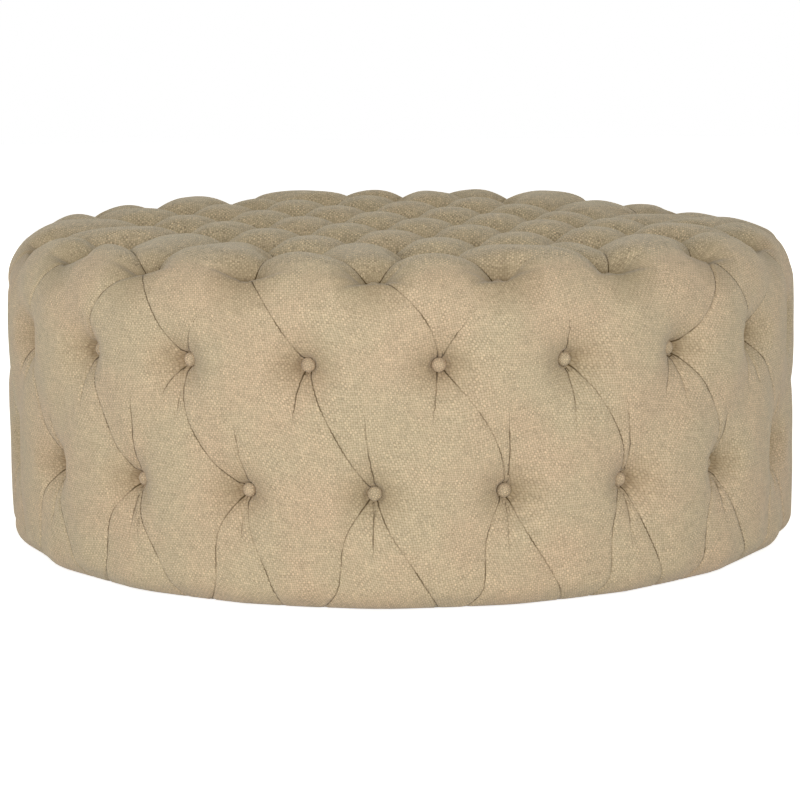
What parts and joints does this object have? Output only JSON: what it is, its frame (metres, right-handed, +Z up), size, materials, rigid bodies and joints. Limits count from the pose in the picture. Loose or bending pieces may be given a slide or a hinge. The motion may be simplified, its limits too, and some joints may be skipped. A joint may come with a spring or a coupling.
{
  "type": "ottoman coffee table",
  "caption": "Round deep-buttoned ottoman coffee table with a diamond-tufted woven cover over foam, a stave and board frame and floor glides.",
  "frame": {"origin": "centre of the footprint, on the floor", "axes": "+Z up; the upper row of side tufts is turned 5.2 degrees from the -Y axis, which faces the camera in the picture"},
  "size_m": [1.18, 1.18, 0.475],
  "materials": {
    "cover_weave": "coarse plain weave, matte",
    "button_weave": "the cover's weave, pulled tight",
    "foam": "open-cell foam",
    "twine": "waxed",
    "toggle_wood": "bare beech",
    "plywood": "bare plywood",
    "pine": "bare pine",
    "dust_cloth": "spunbond cloth",
    "staple_steel": "galvanised",
    "glide_steel": "nickel plated"
  },
  "bodies": {
    "root": {"base_rail_lower": "pine", "base_rail_upper": "pine", "base_ring": "plywood", "centre_post": "pine", "corner_post_1": "pine", "corner_post_2": "pine", "corner_post_3": "pine", "corner_post_4": "pine", "deck_beam_left": "pine", "deck_beam_right": "pine", "deck_slat_1": "pine", "deck_slat_2": "pine", "deck_slat_3": "pine", "deck_slat_4": "pine", "deck_slat_5": "pine", "deck_slat_6": "pine", "deck_slat_7": "pine", "deck_toggles": "toggle_wood", "dust_cloth": "dust_cloth", "dust_cloth_staples": "staple_steel", "glides": "glide_steel", "lower_side_buttons": "button_weave", "lower_side_twines": "twine", "rim_buttons": "button_weave", "rim_twines": "twine", "side_foam": "foam", "side_toggles": "toggle_wood", "stave_1": "pine", "stave_10": "pine", "stave_11": "pine", "stave_12": "pine", "stave_13": "pine", "stave_14": "pine", "stave_15": "pine", "stave_16": "pine", "stave_17": "pine", "stave_18": "pine", "stave_19": "pine", "stave_2": "pine", "stave_20": "pine", "stave_3": "pine", "stave_4": "pine", "stave_5": "pine", "stave_6": "pine", "stave_7": "pine", "stave_8": "pine", "stave_9": "pine", "top_buttons": "button_weave", "top_foam": "foam", "top_hoop": "plywood", "top_twines": "twine", "tufted_cover": "cover_weave", "upper_side_buttons": "button_weave", "upper_side_twines": "twine"}
  },
  "joints": []
}
